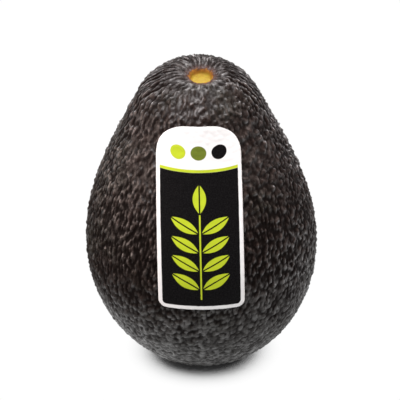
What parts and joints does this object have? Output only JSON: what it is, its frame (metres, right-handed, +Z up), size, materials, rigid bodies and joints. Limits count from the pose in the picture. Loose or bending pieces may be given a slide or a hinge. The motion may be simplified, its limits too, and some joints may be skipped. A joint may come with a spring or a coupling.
{
  "type": "avocado",
  "caption": "Whole pear-shaped avocado with dark pebbled skin and a yellow stem scar, standing on its blunt end, with a plain paper label on its front.",
  "frame": {"origin": "centre of the small flat spot that the fruit stands on", "axes": "+Z up, from the rest spot towards the stem end; -Y is the front, which carries the label; +X is on the right seen from the front"},
  "size_m": [0.07, 0.0706, 0.0975],
  "materials": {
    "skin": "waxy pebbled fruit skin, dark brown-black, satin",
    "label_paper": "coated label paper, satin"
  },
  "bodies": {
    "root": {"fruit": "skin", "label": "label_paper"}
  },
  "joints": []
}
